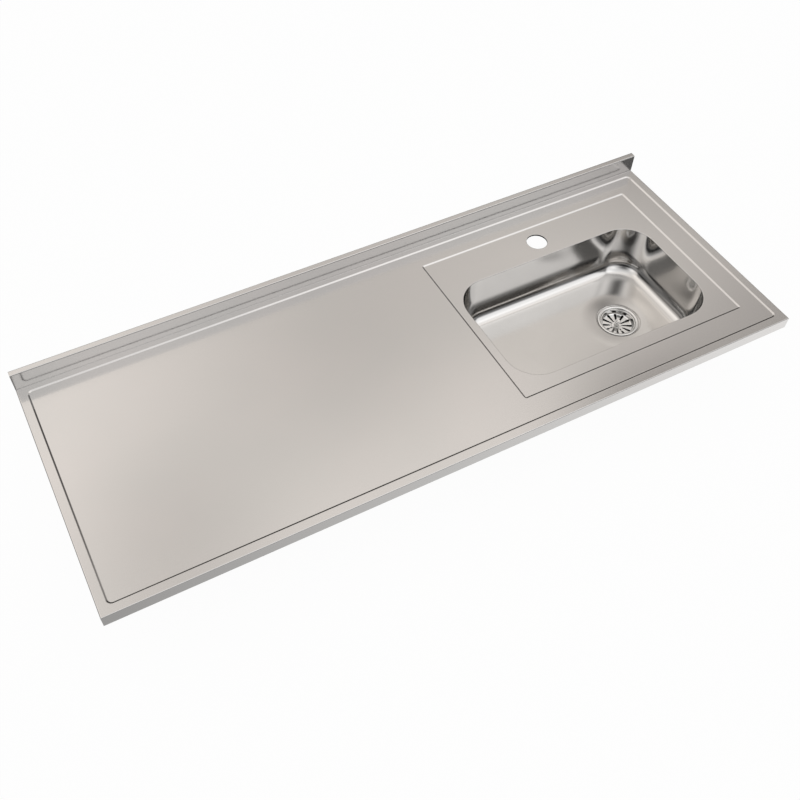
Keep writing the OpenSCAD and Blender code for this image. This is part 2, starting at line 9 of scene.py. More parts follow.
import bmesh
import bpy
import numpy as np
from mathutils import Matrix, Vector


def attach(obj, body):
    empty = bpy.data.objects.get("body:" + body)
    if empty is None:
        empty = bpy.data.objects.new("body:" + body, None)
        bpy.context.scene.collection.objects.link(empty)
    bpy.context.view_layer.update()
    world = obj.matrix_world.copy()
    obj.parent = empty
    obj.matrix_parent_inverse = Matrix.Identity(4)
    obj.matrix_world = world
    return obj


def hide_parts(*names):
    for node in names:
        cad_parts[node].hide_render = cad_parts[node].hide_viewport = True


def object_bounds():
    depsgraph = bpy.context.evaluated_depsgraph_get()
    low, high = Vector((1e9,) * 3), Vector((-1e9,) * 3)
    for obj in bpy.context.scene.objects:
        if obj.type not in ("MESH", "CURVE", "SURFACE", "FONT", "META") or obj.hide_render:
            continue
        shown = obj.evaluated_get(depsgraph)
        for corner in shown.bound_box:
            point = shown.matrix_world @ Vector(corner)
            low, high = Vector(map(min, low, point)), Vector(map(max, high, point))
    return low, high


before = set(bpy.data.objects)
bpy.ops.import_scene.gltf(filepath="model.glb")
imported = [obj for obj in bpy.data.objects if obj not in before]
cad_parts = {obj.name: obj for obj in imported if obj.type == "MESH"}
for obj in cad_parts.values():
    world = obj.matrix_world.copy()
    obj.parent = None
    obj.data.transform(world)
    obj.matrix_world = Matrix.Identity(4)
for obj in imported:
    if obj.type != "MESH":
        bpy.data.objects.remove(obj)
cad_low, cad_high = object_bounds()

# Sizes of the sheet, as in the part's source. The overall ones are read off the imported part.
HALF_L, HALF_D, UPSTAND_Z = (round(1000 * v, 1) for v in cad_high)
SHEET_T, EDGE_R, HEM_TOP = 1.0, 2.0, 12.0
HEM_R = EDGE_R / 2
DECK_Z, STEP_H = 30.0, 1.8
FIELD_Z, PANEL_Z = DECK_Z - STEP_H, DECK_Z - 2 * STEP_H
UPSTAND_D, UPSTAND_FILLET, FOLD_H = 14.5, 0.5, 18.0
UPSTAND_Y, FOLD_Z = HALF_D - UPSTAND_D, UPSTAND_Z - FOLD_H

# Areas in the sheet, each as (left, front, right, back, corner radius).
FIELD_MARGIN, FIELD_BACK, FIELD_R = 20.0, 15.0, 11.0
FIELD = (FIELD_MARGIN - HALF_L, FIELD_MARGIN - HALF_D,
         HALF_L - FIELD_MARGIN, UPSTAND_Y - FIELD_BACK, FIELD_R)
PANEL_W, PANEL_D, PANEL_RIGHT, PANEL_R = 580.0, 445.0, 73.0, 5.0
PANEL = (HALF_L - PANEL_RIGHT - PANEL_W, -PANEL_D / 2, HALF_L - PANEL_RIGHT, PANEL_D / 2, PANEL_R)
BOWL_LEFT, BOWL_FRONT, BOWL_RIGHT, BOWL_BACK, BOWL_R = 22.0, 35.0, 38.0, 100.0, 75.0
BOWL = (PANEL[0] + BOWL_LEFT, PANEL[1] + BOWL_FRONT, PANEL[2] - BOWL_RIGHT, PANEL[3] - BOWL_BACK, BOWL_R)

# The tap hole, in the middle of the panel's length, and the steel plate under it.
TAP_R, TAP_BACK, TAP_PLATE_W = 25.0, 50.0, 120.0
TAP_X, TAP_Y = (PANEL[0] + PANEL[2]) / 2, PANEL[3] - TAP_BACK
TAP_LEFT, TAP_RIGHT = TAP_X - TAP_PLATE_W / 2, TAP_X + TAP_PLATE_W / 2

# The bowl, its floor, and the recess that the strainer's flange sits in.
BOWL_DEPTH, BOWL_T, BOWL_FLANGE = 120.0, 0.9, 10.0
BOWL_TOP_Z, FLOOR_Z = PANEL_Z - SHEET_T, PANEL_Z - BOWL_DEPTH
FLOOR_FALL, FALL_R = 2.0, 95.0
RECESS_H, RECESS_R = 2.4, 51.5
RECESS_Z = FLOOR_Z - FLOOR_FALL - RECESS_H
OUTLET_INSET, OUTLET_R = 141.0, 44.0
OUTLET_X, OUTLET_Y = BOWL[2] - OUTLET_INSET, BOWL[1] + OUTLET_INSET

# The bowl's walls: how far each bend leans out of upright, in degrees, and the bends' radii.
RIM_LEAN, HIP_LEAN, FLOOR_LEAN = 1.5, 3.0, 89.0
BACK_KNEE, SIDE_KNEE = 20.0, 5.0
RIM_H, HIP_R, FOOT_R = 2.0, 118.0, 35.0

# The strainer, with radii from the outlet's axis.
RIM_Z = RECESS_Z + 2.0
MOUTH_R, LEDGE_Z = 41.5, RIM_Z - 5.0
CUP_R, CUP_OUT_R, CUP_DEPTH, CUP_T = 39.8, 42.9, 31.8, 2.0
CUP_FLOOR_Z = RIM_Z - CUP_DEPTH
CUP_UNDER_Z = CUP_FLOOR_Z - CUP_T
PIPE_BORE_R, PIPE_R, PIPE_L = 19.5, 23.9, 24.0
PIPE_END_Z = CUP_UNDER_Z - PIPE_L
CROSS_Z, CROSS_HALF, HUB_R = CUP_UNDER_Z + 0.5, 1.5, 5.0

# The basket and its slots, each slot with half a width at its inner and at its outer end.
BASKET_R, BASKET_T, BASKET_DEPTH = 39.5, 0.8, 13.0
BASKET_FLOOR_Z = LEDGE_Z + BASKET_T - BASKET_DEPTH
SLOTS = 12
SLOT_IN_R, SLOT_IN_HALF = 13.0, 1.5
SLOT_OUT_R, SLOT_OUT_HALF = 33.7, 3.0

# The knob's foot, just over the basket's floor.
KNOB_Z = BASKET_FLOOR_Z + 0.3

# Numbers of points along an outline: on a corner, an end and the front, beside the tap and behind it.
ARC, SHORT, LONG, BESIDE, BEHIND = 14, 16, 20, 8, 24
COUNT = 4 * ARC + 2 * SHORT + LONG + 2 * BESIDE + BEHIND


def run(a, b, n):
    """n points on the straight line from a to b, without b."""
    t = np.arange(n)[:, None] / n
    return np.array(a) * (1 - t) + np.array(b) * t


def turn(cx, cy, r, a0, n):
    """n points on the quarter circle round (cx, cy) from angle a0, clockwise, without its end."""
    a = np.radians(a0 - 90.0 * np.arange(n) / n)
    return np.stack([cx + r * np.cos(a), cy + r * np.sin(a)], 1)


def arc(cx, cy, r, a0, a1, n):
    """n + 1 pairs on the arc round (cx, cy) between two angles in degrees."""
    a = np.radians(np.linspace(a0, a1, n + 1))
    return np.stack([cx + r * np.cos(a), cy + r * np.sin(a)], 1)


def outline(box, inset, z):
    """Rounded rectangle drawn in by inset, clockwise from the point behind the tap hole's right side.
    Every outline has the same number of points, so two of them pair up corner to corner."""
    x0, y0, x1, y1 = box[0] + inset, box[1] + inset, box[2] - inset, box[3] - inset
    r = box[4] - inset
    flat = np.concatenate([
        run((TAP_RIGHT, y1), (x1 - r, y1), BESIDE),
        turn(x1 - r, y1 - r, r, 90, ARC),
        run((x1, y1 - r), (x1, y0 + r), SHORT),
        turn(x1 - r, y0 + r, r, 0, ARC),
        run((x1 - r, y0), (x0 + r, y0), LONG),
        turn(x0 + r, y0 + r, r, -90, ARC),
        run((x0, y0 + r), (x0, y1 - r), SHORT),
        turn(x0 + r, y1 - r, r, 180, ARC),
        run((x0 + r, y1), (TAP_LEFT, y1), BESIDE),
        run((TAP_LEFT, y1), (TAP_RIGHT, y1), BEHIND)])
    return np.concatenate([flat, np.full((COUNT, 1), float(z))], 1)


def grid(points, wrap=False, flip=False):
    """Quads over an array of rows of points; wrap joins the last point of a row to its first."""
    rows, cols = points.shape[:2]
    j = np.arange(rows - 1)[:, None] * cols
    k = np.arange(cols if wrap else cols - 1)[None, :]
    k1 = (k + 1) % cols
    quads = np.stack([j + k, j + k1, j + cols + k1, j + cols + k], -1).reshape(-1, 4)
    return points.reshape(-1, 3), quads if flip else quads[:, ::-1]


def lathe(profile, n=96):
    """Turns a profile of (radius, level) pairs round the outlet's axis."""
    profile = np.array(profile, float)
    a = -2 * np.pi * np.arange(n) / n
    r, z = profile[:, :1], profile[:, 1:]
    return np.stack([OUTLET_X + r * np.cos(a), OUTLET_Y + r * np.sin(a), z + 0 * a], -1)


# In metres: points closer than the first are joined, and edges shorter than the second are closed up.
JOIN_WITHIN, EDGE_LEAST = 2e-6, 1e-7


def skin(name, patches, body, node, sharp=35.0, thick=0.0):
    """One object from several patches: joined points, closed poles, smooth faces, and a wall of its own."""
    points = np.concatenate([p for p, _ in patches]) * 0.001
    start = np.cumsum([0] + [len(p) for p, _ in patches])
    faces = np.concatenate([q + s for (_, q), s in zip(patches, start)]).tolist()
    mesh = bpy.data.meshes.new(name)
    mesh.from_pydata(points.tolist(), [], faces)
    bm = bmesh.new()
    bm.from_mesh(mesh)
    bmesh.ops.remove_doubles(bm, verts=bm.verts, dist=JOIN_WITHIN)
    bmesh.ops.dissolve_degenerate(bm, edges=bm.edges, dist=EDGE_LEAST)
    bm.to_mesh(mesh)
    bm.free()
    mesh.polygons.foreach_set("use_smooth", np.ones(len(mesh.polygons), dtype=bool))
    mesh.set_sharp_from_angle(angle=math.radians(sharp))
    piece = bpy.data.objects.new(name, mesh)
    bpy.context.scene.collection.objects.link(piece)
    if thick:
        wall = piece.modifiers.new("wall", "SOLIDIFY")
        wall.thickness = thick * 0.001
        wall.offset = -1.0
        wall.use_even_offset = True
    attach(piece, body)
    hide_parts(node)
    return piece


def pressed_step(box, z, start=-1.0, width=4.0, ease=0.1):
    """Rings over a pressed step from inset start on, with a flat ring on each side. Its slope eases in and
    out over a tenth of its width at each end, so the level is the running sum of a trapezium."""
    t = np.array([0, 0.04, 0.07, 0.1, 0.3, 0.5, 0.7, 0.9, 0.93, 0.96, 1])
    fall = np.where(t < ease, t * t / (2 * ease), t - ease / 2)
    fall = np.where(t > 1 - ease, 1 - ease - (1 - t) ** 2 / (2 * ease), fall) / (1 - ease)
    inset = np.concatenate([[start - 1], start + width * t, [start + width + 1]])
    level = z - STEP_H * np.concatenate([[0], fall, [1]])
    return [outline(box, inwards, height) for inwards, height in zip(inset, level)]


def panel_and_tap_hole(outer, across_n=16, edge_r=0.5, flat_to=2.2):
    """The panel from its step's last ring to the bowl, with the tap hole. Straight lines run from the ring
    to the bowl's edge, except behind the bowl, where a patch blends the open square into the hole's circle.
    The hole's and the bowl's edges turn down in quarter circles."""
    inner = outline(BOWL, -flat_to, PANEL_Z)
    t = np.linspace(0, 1, across_n + 1)[:, None, None]
    across = outer * (1 - t) + inner * t
    behind = COUNT - BEHIND
    square = np.concatenate([
        across[:-1, 0], inner[:1], inner[:behind:-1], across[:0:-1, behind], outer[behind:]])
    start = math.atan2(square[0, 1] - TAP_Y, square[0, 0] - TAP_X)
    a = start - 2 * np.pi * np.arange(len(square)) / len(square)

    def circle(r, z):
        """A ring round the tap hole with a point for each one of the square."""
        return np.stack([TAP_X + r * np.cos(a), TAP_Y + r * np.sin(a), z + 0 * a], 1)

    hole = [square, circle(TAP_R + 3 * edge_r, PANEL_Z)]
    for b in np.radians([0, 22, 45, 68, 90]):
        hole.append(circle(TAP_R + edge_r * (1 - math.sin(b)), PANEL_Z - edge_r * (1 - math.cos(b))))
    hole.append(circle(TAP_R, PANEL_Z - edge_r - 0.1))

    edge = [inner]
    for b in np.radians(np.linspace(0, 90, 7)):
        edge.append(outline(BOWL, -SHEET_T * (1 - math.sin(b)), PANEL_Z - SHEET_T * (1 - math.cos(b))))
    return [grid(across[:, :behind + 1]), grid(np.stack(hole), wrap=True), grid(np.stack(edge), wrap=True)]


def drops(border):
    """The front and both ends: one section of (distance outwards, level) pairs carried round the border,
    with a round edge, an upright face and a hem folded up inside."""
    first, last = BESIDE + ARC, COUNT - BEHIND - BESIDE - ARC
    section = np.concatenate([
        arc(0, DECK_Z - EDGE_R, EDGE_R, 90, 0, 8),
        [[EDGE_R, DECK_Z - EDGE_R - 1], [EDGE_R, 2 * HEM_R]],
        arc(HEM_R, HEM_R, HEM_R, 0, -180, 8),
        [[0, 2 * HEM_R], [0, HEM_TOP]]])

    def ring(out, z):
        """The border drawn out on three sides, from the right end's back corner to the left one's."""
        wide = (border[0] - out, border[1] - out, border[2] + out, border[3], border[4])
        ends = np.array([[border[2] + out, HALF_D, z], [border[0] - out, HALF_D, z]])
        return np.concatenate([ends[:1], outline(wide, 0, z)[first:last + 1], ends[1:]])

    return grid(np.stack([ring(out, z) for out, z in section]), flip=True)


def upstand(xs):
    """One section of (y, z) pairs carried along the length, from the deck over the top to the fold behind
    it, and a flat plate on each end."""
    low = DECK_Z - EDGE_R
    section = np.concatenate([
        arc(UPSTAND_Y - UPSTAND_FILLET, DECK_Z + UPSTAND_FILLET, UPSTAND_FILLET, -90, 0, 6),
        [[UPSTAND_Y, DECK_Z + 4], [UPSTAND_Y, UPSTAND_Z - 3]],
        arc(UPSTAND_Y + EDGE_R, UPSTAND_Z - EDGE_R, EDGE_R, 180, 90, 7),
        [[UPSTAND_Y + EDGE_R + 1, UPSTAND_Z], [HALF_D - EDGE_R - 1, UPSTAND_Z]],
        arc(HALF_D - EDGE_R, UPSTAND_Z - EDGE_R, EDGE_R, 90, 0, 7),
        [[HALF_D, UPSTAND_Z - 3], [HALF_D, FOLD_Z]]])
    y, z = section[:, :1], section[:, 1:]
    patches = [grid(np.stack([xs + 0 * y, y + 0 * xs, z + 0 * xs], -1), flip=True)]

    # Each plate pairs the front half of the section with the rear half, lengthened down behind.
    half = int(np.argmax(section[:, 0] > (UPSTAND_Y + HALF_D) / 2))
    front = np.concatenate([[[section[0, 0], low]], section[:half]])
    rear = section[half:][::-1]
    spare = len(front) - len(rear)
    low_rear = np.stack([np.full(spare, HALF_D), np.linspace(low, FOLD_Z, spare + 1)[:-1]], 1)
    plate = np.stack([front, np.concatenate([low_rear, rear])], 1)
    for x, turned in ((-HALF_L, False), (HALF_L, True)):
        patches.append(grid(np.concatenate([np.full(plate.shape[:2] + (1,), x), plate], -1), flip=turned))
    return patches


def worktop_sheet():
    """The folded sheet: border, two pressed steps, tap hole, bowl edge, drops with hems, and the upstand."""
    corner_r, strip = 0.2, 0.8
    border = (EDGE_R - HALF_L, EDGE_R - HALF_D, HALF_L - EDGE_R, UPSTAND_Y - UPSTAND_FILLET, corner_r)
    within = (border[0] + strip, border[1] + strip, border[2] - strip, border[3] - strip, corner_r)
    rings = [outline(border, 0, DECK_Z), outline(within, 0, DECK_Z)]
    rings += pressed_step(FIELD, DECK_Z)
    rings += pressed_step(PANEL, FIELD_Z)
    along_back = rings[0][np.abs(rings[0][:, 1] - border[3]) < 1e-6]
    xs = np.concatenate([[-HALF_L], np.sort(along_back[:, 0]), [HALF_L]])
    patches = [grid(np.stack(rings), wrap=True)]
    patches += panel_and_tap_hole(rings[-1])
    patches.append(drops(border))
    patches += upstand(xs)
    return skin("worktop_sheet", patches, "worktop", "worktop_skin", thick=SHEET_T - 0.04)


def wall_profile(knee_lean):
    """(inset, height over the floor) pairs down a wall: nearly upright, a slow bend to the knee, a round
    foot. Each bend is an arc whose lean grows evenly, and starts where the one above ends."""
    rim, hip, knee, floor = (math.radians(v) for v in (RIM_LEAN, HIP_LEAN, knee_lean, FLOOR_LEAN))
    top = BOWL_TOP_Z - FLOOR_Z
    knee_h = FOOT_R * (1 - math.sin(knee))
    hip_h = knee_h + HIP_R * (math.sin(knee) - math.sin(hip))
    wall_r = (top - RIM_H - hip_h) / (math.sin(hip) - math.sin(rim))
    profile = [np.array([[-BOWL_FLANGE, top], [0, top], [0, top - RIM_H]])]
    for r, a0, a1, n in ((wall_r, rim, hip, 6), (HIP_R, hip, knee, 12), (FOOT_R, knee, floor, 20)):
        lean = np.linspace(a0, a1, n + 1)[1:]
        inset, height = profile[-1][-1]
        inset = inset + r * (math.cos(a0) - np.cos(lean))
        height = height - r * (np.sin(lean) - math.sin(a0))
        profile.append(np.stack([inset, height], 1))
    return np.concatenate(profile)


def bowl_shell():
    """Walls that draw in a little towards a round foot, the back one more than the others and blended into
    them round its corners, and a floor that falls to the recess round the outlet."""
    share = np.clip((outline(BOWL, 0, 0)[:, 1:2] - (BOWL[3] - BOWL[4])) / BOWL[4], 0, 1)
    share = share * share * (3 - 2 * share)
    rings = [outline(BOWL, i1, FLOOR_Z + h1) * share + outline(BOWL, i2, FLOOR_Z + h2) * (1 - share)
             for (i1, h1), (i2, h2) in zip(wall_profile(BACK_KNEE), wall_profile(SIDE_KNEE))]

    edge = rings[-1]
    level = edge[0, 2]
    axis = np.array([OUTLET_X, OUTLET_Y])
    away = edge[:, :2] - axis
    away /= np.linalg.norm(away, axis=1)[:, None]

    def circle(r, z):
        """A ring round the outlet with a point for each one of the foot's."""
        return np.concatenate([axis + r * away, np.full((COUNT, 1), z)], 1)

    # Level rings from the foot to a circle, then a fall that starts level and steepens as a cubic.
    for f in (0.96, 0.75, 0.5, 0.25):
        flat = edge[:, :2] * f + (axis + FALL_R * away) * (1 - f)
        rings.append(np.concatenate([flat, np.full((COUNT, 1), level)], 1))
    lip_r, lip_z = RECESS_R + 2.0, level - FLOOR_FALL
    for f in np.linspace(0, 1, 13):
        fall = FLOOR_FALL * (1.5 * f * f - 0.5 * f ** 3)
        rings.append(circle(FALL_R + (lip_r - FALL_R) * f, level - fall))

    # A sharp lip that hangs a millimetre over the recess, then the recess's round foot and its face.
    for b in np.radians([65, 40, 20, 0]):
        rings.append(circle(RECESS_R - 0.6 + 2 * math.cos(b), lip_z - 1.2 * (1 - math.sin(b))))
    for b in np.radians([30, 60, 90]):
        rings.append(circle(RECESS_R - 1.2 + 0.6 * math.cos(b), RECESS_Z + 0.9 * (1 - math.sin(b))))
    rings += [circle(OUTLET_R + 1, RECESS_Z), circle(OUTLET_R, RECESS_Z)]
    patches = [grid(np.stack(rings), wrap=True)]
    return skin("bowl_shell", patches, "worktop", "sink_bowl", thick=BOWL_T - 0.02)


def threads(r, z0, z1, pitch, depth, n=96):
    """A screw thread as one surface, with eight rows of points for a turn: the radius is a triangle wave of
    the level less the turn, and the thread runs out at both ends."""
    rows = int(round(8 * (z0 - z1) / pitch, 3))
    z = np.linspace(z0, z1, rows + 1)[:, None]
    a = -2 * np.pi * np.arange(n)[None, :] / n
    wave = np.abs(((z / pitch - a / (2 * np.pi)) % 1.0) - 0.5) * 2
    ease = np.clip(np.minimum(z0 - z, z - z1) / (0.6 * pitch), 0, 1)
    radius = r - depth * (1 - wave * ease)
    return np.stack([OUTLET_X + radius * np.cos(a), OUTLET_Y + radius * np.sin(a), z + 0 * a], -1)


def strainer_cup():
    """A closed section turned round the axis, with both threads let in: under the flange, its round edge,
    its crown, the rolled mouth, the ledge, the cup and its beaded floor, the pipe, and back up outside."""
    inside = np.concatenate([
        [[CUP_OUT_R, RIM_Z - 1.3], [48.2, RIM_Z - 1.3]],
        arc(48.4, RIM_Z - 0.75, 0.55, -80, 70, 6),
        [[47.7, RIM_Z], [46.6, RIM_Z + 0.18], [45.3, RIM_Z + 0.16], [44.4, RIM_Z], [43.8, RIM_Z - 0.35]],
        arc(MOUTH_R + 2, RIM_Z - 2.4, 2.0, 80, 180, 9),
        [[MOUTH_R, LEDGE_Z + 0.4], [MOUTH_R - 0.2, LEDGE_Z], [CUP_R + 0.4, LEDGE_Z]],
        [[CUP_R, LEDGE_Z - 0.3], [CUP_R, CUP_FLOOR_Z + 5.8]],
        arc(CUP_R - 6, CUP_FLOOR_Z + 6, 6.0, 0, -90, 8),
        [[28.9, CUP_FLOOR_Z], [28.7, CUP_FLOOR_Z + 1], [25.9, CUP_FLOOR_Z + 1], [25.7, CUP_FLOOR_Z]],
        [[PIPE_BORE_R + 0.8, CUP_FLOOR_Z], [PIPE_BORE_R, CUP_FLOOR_Z - 0.8]],
        [[PIPE_BORE_R, PIPE_END_Z + 1], [PIPE_BORE_R + 0.5, PIPE_END_Z], [PIPE_R - 1, PIPE_END_Z]]])
    pipe = threads(PIPE_R, CUP_UNDER_Z - 0.8, PIPE_END_Z + 0.6, pitch=2.3, depth=0.9)
    under = [[PIPE_R - 0.9, CUP_UNDER_Z], [33.0, CUP_UNDER_Z],
             [40.4, CUP_UNDER_Z + 1.4], [CUP_OUT_R - 0.5, CUP_UNDER_Z + 5.2]]
    cup = threads(CUP_OUT_R, RIM_Z - 3.2, CUP_UNDER_Z + 5.6, pitch=2.0, depth=0.5)
    section = [lathe(inside), pipe[::-1], lathe(under), cup[::-1], lathe(inside[:1])]
    return grid(np.concatenate(section), wrap=True)


def strainer_shell():
    """Crowned flange, rolled mouth, ledge, cup, threaded outlet and the cross that guides the stem."""
    patches = [strainer_cup()]

    # Four bars from the hub to the pipe's wall, with closed ends. A bar's outline is the cosine and the sine
    # of a full turn, each raised to the power 0.4, which makes a circle nearly square.
    a = np.linspace(0, 2 * np.pi, 17)
    corner = CROSS_HALF * np.stack([np.sign(v) * np.abs(v) ** 0.4 for v in (np.cos(a), np.sin(a))], 1)
    reach = np.array([HUB_R - 0.5, HUB_R - 0.5, PIPE_BORE_R + 0.4, PIPE_BORE_R + 0.4])[:, None]
    size = np.array([0, 1, 1, 0])[:, None]
    for k in range(4):
        c, s = math.cos(k * math.pi / 2), math.sin(k * math.pi / 2)
        x = OUTLET_X + reach * c - size * corner[:, 0] * s
        y = OUTLET_Y + reach * s + size * corner[:, 0] * c
        patches.append(grid(np.stack([x, y, CROSS_Z + size * corner[:, 1]], -1)))

    # The hub: a rounded square turned round the axis.
    half, round_r = 0.9, 0.6
    ring = np.concatenate([
        arc(HUB_R + half, CROSS_Z + half, round_r, 0, 90, 4),
        arc(HUB_R - half, CROSS_Z + half, round_r, 90, 180, 4),
        arc(HUB_R - half, CROSS_Z - half, round_r, 180, 270, 4),
        arc(HUB_R + half, CROSS_Z - half, round_r, 270, 360, 4)])
    patches.append(grid(lathe(np.concatenate([ring, ring[:1]]), 48), wrap=True, flip=True))
    return skin("strainer_shell", patches, "worktop", "strainer_body")


def slot_half_width(r, level):
    """Half a slot's width at a radius: a round inner end, a straight taper and a round outer end, and
    nothing up the basket's wall."""
    half = np.interp(r, [SLOT_IN_R, SLOT_OUT_R], [SLOT_IN_HALF, SLOT_OUT_HALF])
    inner_end = np.sqrt(np.clip(SLOT_IN_HALF ** 2 - (SLOT_IN_R - r) ** 2, 0, None))
    outer_end = np.sqrt(np.clip(SLOT_OUT_HALF ** 2 - (r - SLOT_OUT_R) ** 2, 0, None))
    half = np.where(r < SLOT_IN_R, inner_end, half)
    half = np.where(r > SLOT_OUT_R, outer_end, half)
    past = (r < SLOT_IN_R - SLOT_IN_HALF + 0.01) | (r > SLOT_OUT_R + SLOT_OUT_HALF - 0.01)
    return np.where(past | (level > BASKET_FLOOR_Z + 4.2), 0.0, half)


def slotted_basket():
    """A turned profile in one sector for each slot: a row of points spans the metal between two slots."""
    profile = np.concatenate([
        arc(40.8, LEDGE_Z + 0.4, 0.4, -60, 90, 5), [[40.0, LEDGE_Z + 0.8]],
        arc(BASKET_R, LEDGE_Z, BASKET_T, 90, 180, 5), [[BASKET_R - BASKET_T, LEDGE_Z - 3]],
        arc(SLOT_OUT_R, BASKET_FLOOR_Z + 5, 5.0, 0, -90, 26)])
    inner_end = SLOT_IN_R - SLOT_IN_HALF * np.sin(np.radians([20, 40, 60, 75, 90]))
    flat_r = np.concatenate([np.linspace(33.0, SLOT_IN_R, 14), inner_end, [10.8, 8.0, 3.4]])
    dome = BASKET_FLOOR_Z + 0.5 * np.clip((9 - flat_r) / 6, 0, 1)
    profile = np.concatenate([profile, np.stack([flat_r, dome], 1)])

    r, level = profile[None, :, 0, None], profile[None, :, 1, None]
    gap = slot_half_width(r, level) / r
    sector = 2 * np.pi / SLOTS
    t = np.linspace(0, 1, 9)
    a = sector * np.arange(SLOTS)[:, None, None] + gap + (sector - 2 * gap) * t
    points = np.stack([OUTLET_X + r * np.cos(a), OUTLET_Y + r * np.sin(a), level + 0 * a], -1)
    patches = [grid(rows, flip=True) for rows in points]
    return skin("slotted_basket", patches, "basket", "basket", thick=BASKET_T - 0.04, sharp=50)


def turned_knob():
    """Knob with a flared foot, a waist that follows half a sine wave, and a round-edged head with a shallow
    dish; what lies over the waist is stretched upwards."""
    t = np.linspace(0, 1, 15)
    waist = np.stack([6.0 - 1.6 * np.sin(np.pi * t ** 0.8) + 0.6 * t, KNOB_Z + 1.7 + 7.6 * t], 1)
    profile = np.concatenate([
        [[0.0, KNOB_Z], [5.5, KNOB_Z]],
        arc(5.6, KNOB_Z + 0.5, 0.5, -80, 0, 4),
        waist[1:],
        arc(6.2, KNOB_Z + 11.7, 1.3, -55, 80, 10),
        [[5.6, KNOB_Z + 12.95], [4.6, KNOB_Z + 12.75], [2.6, KNOB_Z + 12.6], [0.0, KNOB_Z + 12.55]]])
    profile[:, 1] += np.clip(profile[:, 1] - (KNOB_Z + 9.4), 0, None) / 3.5
    return skin("turned_knob", [grid(lathe(profile, 64), wrap=True)], "stopper", "pull_knob", sharp=60)


def material(name, colour, rough, metallic=0.0, specular=0.5):
    """A Principled material, with its uniform numbers on the shader's own sockets."""
    m = bpy.data.materials.new(name)
    m.use_nodes = True
    shader = m.node_tree.nodes["Principled BSDF"]
    shader.inputs["Base Color"].default_value = (*colour, 1)
    shader.inputs["Roughness"].default_value = rough
    shader.inputs["Metallic"].default_value = metallic
    shader.inputs["Specular IOR Level"].default_value = specular
    return m, m.node_tree, shader


def arithmetic(tree, op, a, b=None):
    """One sum between two values, each a number or another node's output."""
    n = tree.nodes.new("ShaderNodeMath")
    n.operation = op
    for socket, value in zip(n.inputs, (a, b)):
        if value is None:
            continue
        if isinstance(value, (int, float)):
            socket.default_value = value
        else:
            tree.links.new(value, socket)
    return n.outputs[0]


def place(tree, scale=(1, 1, 1), turn_z=0.0):
    """Object coordinates in metres, stretched or turned for a pattern."""
    coords = tree.nodes.new("ShaderNodeTexCoord")
    mapping = tree.nodes.new("ShaderNodeMapping")
    mapping.inputs["Scale"].default_value = scale
    mapping.inputs["Rotation"].default_value = (0, 0, turn_z)
    tree.links.new(coords.outputs["Object"], mapping.inputs["Vector"])
    return mapping.outputs["Vector"]


def axes(tree, where):
    """The X, Y and Z outputs of a place or a direction."""
    split = tree.nodes.new("ShaderNodeSeparateXYZ")
    tree.links.new(where, split.inputs["Vector"])
    return split.outputs


def noise(tree, where, scale, detail=2.0, rough=0.5, twist=0.0):
    """Smooth noise between 0 and 1 at a place."""
    n = tree.nodes.new("ShaderNodeTexNoise")
    n.inputs["Scale"].default_value = scale
    n.inputs["Detail"].default_value = detail
    n.inputs["Roughness"].default_value = rough
    n.inputs["Distortion"].default_value = twist
    tree.links.new(where, n.inputs["Vector"])
    return n.outputs["Fac"]


def cells(tree, where, scale):
    """Irregular cells, each with a random number of its own on the red and on the green output."""
    n = tree.nodes.new("ShaderNodeTexVoronoi")
    n.inputs["Scale"].default_value = scale
    tree.links.new(where, n.inputs["Vector"])
    grey = tree.nodes.new("ShaderNodeSeparateColor")
    tree.links.new(n.outputs["Color"], grey.inputs["Color"])
    return grey.outputs


def spread(tree, value, low, high, out_low, out_high):
    """Maps a value between two limits onto two others, and holds it there."""
    n = tree.nodes.new("ShaderNodeMapRange")
    for key, number in zip(("From Min", "From Max", "To Min", "To Max"), (low, high, out_low, out_high)):
        n.inputs[key].default_value = number
    tree.links.new(value, n.inputs["Value"])
    return n.outputs["Result"]


def blend_colours(tree, value, stops):
    """A colour ramp over a value, with (value, colour) pairs as its stops."""
    n = tree.nodes.new("ShaderNodeValToRGB")
    ramp = n.color_ramp
    while len(ramp.elements) < len(stops):
        ramp.elements.new(0.5)
    for e, (at, colour) in zip(ramp.elements, stops):
        e.position = at
        e.color = (*colour, 1)
    tree.links.new(value, n.inputs["Fac"])
    return n.outputs["Color"]


def colour_by(tree, shader, value, stops):
    """Gives the shader's base colour a colour ramp over a value."""
    tree.links.new(blend_colours(tree, value, stops), shader.inputs["Base Color"])


def rough_by(tree, shader, value, low, high, rough_low, rough_high):
    """Gives the shader's roughness a value that is spread between two limits."""
    tree.links.new(spread(tree, value, low, high, rough_low, rough_high), shader.inputs["Roughness"])


def bump(tree, shader, height, strength, distance, under=None):
    """Raises the surface by a height map, over another bump where one is given; distance is in metres."""
    n = tree.nodes.new("ShaderNodeBump")
    n.inputs["Strength"].default_value = strength
    n.inputs["Distance"].default_value = distance
    tree.links.new(height, n.inputs["Height"])
    if under is not None:
        tree.links.new(under, n.inputs["Normal"])
    tree.links.new(n.outputs["Normal"], shader.inputs["Normal"])
    return n.outputs["Normal"]


